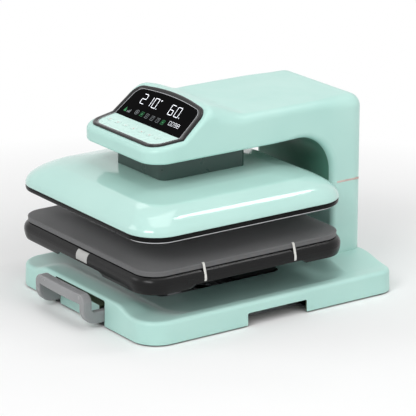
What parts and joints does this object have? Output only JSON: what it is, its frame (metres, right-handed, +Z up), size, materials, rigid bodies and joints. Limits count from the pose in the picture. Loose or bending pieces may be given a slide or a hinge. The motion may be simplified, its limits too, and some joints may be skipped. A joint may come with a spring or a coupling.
{
  "type": "automatic heat press",
  "caption": "Desktop heat press with a C-shaped frame, a heated platen driven down by a screw, and a padded tray that pulls out like a drawer.",
  "frame": {"origin": "middle of the footprint on the table, under the feet", "axes": "+Z up, +Y to the rear, +X to the right seen from the front"},
  "size_m": [0.402, 0.5326, 0.3424],
  "materials": {
    "mint_shell": "glossy moulded mint",
    "key_panel_mint": "pale mint overlay",
    "key_white": "white key caps",
    "bezel_graphite": "polished graphite",
    "display_black": "black display window",
    "neck_plastic": "dark grey green",
    "rim_black": "black heat resistant rim",
    "tray_black": "semi gloss black",
    "black_plastic": "satin black",
    "handle_grey": "satin grey",
    "pad_silicone": "dark grey foam rubber",
    "black_rubber": "feet",
    "white_tape": "woven tape",
    "plate_aluminium": "cast, coated",
    "plate_steel": "zinc plated sheet",
    "bright_steel": "ground steel",
    "trim_metal": "warm silver trim",
    "bronze": "bearing bronze",
    "circuit_board": "green solder mask",
    "heater_rod": "oxidised sheath",
    "insulation": "pressed fibre board"
  },
  "bodies": {
    "chassis": {"base_pan": "mint_shell", "bottom_plate": "plate_steel", "rubber_feet": "black_rubber", "base_screws": "bright_steel", "slide_rails_outer": "plate_steel", "column_frame": "plate_steel", "arm_beam": "plate_steel", "column_cover": "mint_shell", "seam_strips": "trim_metal", "arm_cover": "mint_shell", "arm_bottom_cover": "mint_shell", "panel_bezel": "bezel_graphite", "display_glass": "display_black", "display_board": "circuit_board", "key_panel": "key_panel_mint", "key_board": "circuit_board", "control_board": "circuit_board", "gear_motor": "bright_steel", "thrust_bearings": "bright_steel", "drive_plate": "plate_steel", "guide_bushes": "bronze", "hanger_posts": "bright_steel", "neck_sleeve": "neck_plastic", "power_inlet": "black_plastic", "rocker_frame": "black_plastic"},
    "press_head": {"platen_cover": "mint_shell", "platen_rim": "rim_black", "heating_plate": "plate_aluminium", "heating_element": "heater_rod", "insulation_board": "insulation", "thermal_cutout": "black_plastic", "strongback": "plate_steel", "standoffs": "bright_steel", "neck_shroud": "neck_plastic", "lead_screw": "bright_steel", "guide_posts": "bright_steel"},
    "screw_nut": {"drive_nut": "bronze", "nut_gear": "plate_steel"},
    "pinion": {"motor_pinion": "bright_steel"},
    "drawer": {"pull_handle": "handle_grey", "pull_bars": "plate_steel", "carriage_plate": "plate_steel", "slide_rails_inner": "bright_steel", "pedestal": "tray_black", "tray_support": "plate_steel", "drawer_tray": "tray_black", "pad_base_plate": "plate_steel", "silicone_pad": "pad_silicone", "pad_straps": "white_tape", "pad_tag": "white_tape"},
    "rocker": {"power_rocker": "black_plastic"},
    "button_1": {"key_1": "key_white"},
    "button_2": {"key_2": "key_white"},
    "button_3": {"key_3": "key_white"},
    "button_4": {"key_4": "key_white"},
    "button_5": {"key_5": "key_white"},
    "button_6": {"key_6": "key_white"},
    "button_7": {"key_7": "key_white"}
  },
  "joints": [
    {"name": "platen_press", "type": "slide", "parent": "chassis", "child": "press_head", "axis": [0, 0, -1], "range_m": [0, 0.0435]},
    {"name": "nut_spin", "type": "hinge", "parent": "chassis", "child": "screw_nut", "pos_m": [0, -0.02925, 0.221], "axis": [0, 0, 1], "range_deg": [0, 1568]},
    {"name": "pinion_spin", "type": "hinge", "parent": "chassis", "child": "pinion", "pos_m": [-0.02662, -0.00263, 0.221], "axis": [0, 0, 1], "range_deg": [-4700, 0]},
    {"name": "drawer_slide", "type": "slide", "parent": "chassis", "child": "drawer", "axis": [0, -1, 0], "range_m": [0, 0.14]},
    {"name": "power_rocker_tilt", "type": "hinge", "parent": "chassis", "child": "rocker", "pos_m": [0.048, 0.26175, 0.092], "axis": [1, 0, 0], "range_deg": [-18, 0]},
    {"name": "key_1_press", "type": "slide", "parent": "chassis", "child": "button_1", "axis": [0, 0.1219, -0.9925], "range_m": [0, 0.0005], "stiffness_N_per_m": 900, "springref_m": -0.0005},
    {"name": "key_2_press", "type": "slide", "parent": "chassis", "child": "button_2", "axis": [0, 0.1219, -0.9925], "range_m": [0, 0.0005], "stiffness_N_per_m": 900, "springref_m": -0.0005},
    {"name": "key_3_press", "type": "slide", "parent": "chassis", "child": "button_3", "axis": [0, 0.1219, -0.9925], "range_m": [0, 0.0005], "stiffness_N_per_m": 900, "springref_m": -0.0005},
    {"name": "key_4_press", "type": "slide", "parent": "chassis", "child": "button_4", "axis": [0, 0.1219, -0.9925], "range_m": [0, 0.0005], "stiffness_N_per_m": 900, "springref_m": -0.0005},
    {"name": "key_5_press", "type": "slide", "parent": "chassis", "child": "button_5", "axis": [0, 0.1219, -0.9925], "range_m": [0, 0.0005], "stiffness_N_per_m": 900, "springref_m": -0.0005},
    {"name": "key_6_press", "type": "slide", "parent": "chassis", "child": "button_6", "axis": [0, 0.1219, -0.9925], "range_m": [0, 0.0005], "stiffness_N_per_m": 900, "springref_m": -0.0005},
    {"name": "key_7_press", "type": "slide", "parent": "chassis", "child": "button_7", "axis": [0, 0.1219, -0.9925], "range_m": [0, 0.0005], "stiffness_N_per_m": 900, "springref_m": -0.0005}
  ],
  "couplings": [
    {"joint": "nut_spin", "follows": "platen_press", "rad_per_m": 628.32},
    {"joint": "pinion_spin", "follows": "platen_press", "rad_per_m": -1885}
  ]
}
